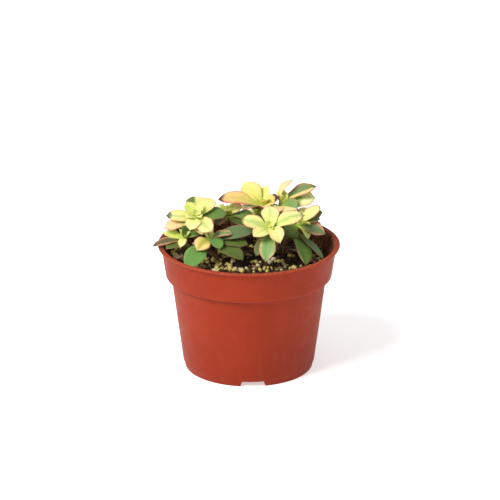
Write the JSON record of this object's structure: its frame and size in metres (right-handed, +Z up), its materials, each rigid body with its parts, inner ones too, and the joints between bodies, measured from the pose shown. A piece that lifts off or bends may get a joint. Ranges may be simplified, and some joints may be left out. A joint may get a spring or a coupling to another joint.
{
  "type": "potted aeonium",
  "caption": "Branching aeonium succulent in a round moulded nursery pot: spoon-leaved rosettes on short stems stand in potting soil under a flat rim.",
  "frame": {"origin": "centre of the pot's base, on the surface it stands on", "axes": "+Z up out of the pot, -Y towards the viewer of the picture, +X to the viewer's right"},
  "size_m": [0.1564, 0.1524, 0.1525],
  "materials": {
    "pot": "satin terracotta-coloured moulded plastic, dusted with soil inside",
    "soil": "dark peaty potting mix with pale perlite",
    "bark": "rough weathered bark",
    "stem": "dull brown, ringed with leaf scars",
    "yellow_leaf": "satin succulent leaf, cream-yellow with green mid stripe and pink-red edge",
    "green_leaf": "satin succulent leaf, mid green with cream and red-brown edge"
  },
  "bodies": {
    "root": {"pot": "pot", "soil": "soil", "bark_chip": "bark", "stem_left": "stem", "rosette_left": "yellow_leaf", "stem_left_low": "stem", "rosette_left_low": "yellow_leaf", "stem_middle_low": "stem", "rosette_middle_low": "green_leaf", "stem_back_small": "stem", "rosette_back_small": "yellow_leaf", "stem_back_top": "stem", "rosette_back_top": "yellow_leaf", "stem_back_right": "stem", "rosette_back_right": "yellow_leaf", "stem_front": "stem", "rosette_front": "yellow_leaf", "stem_right": "stem", "rosette_right": "green_leaf", "stem_rear_left": "stem", "rosette_rear_left": "yellow_leaf", "stem_rear_right": "stem", "rosette_rear_right": "green_leaf", "stem_rear": "stem", "rosette_rear": "yellow_leaf"}
  },
  "joints": []
}
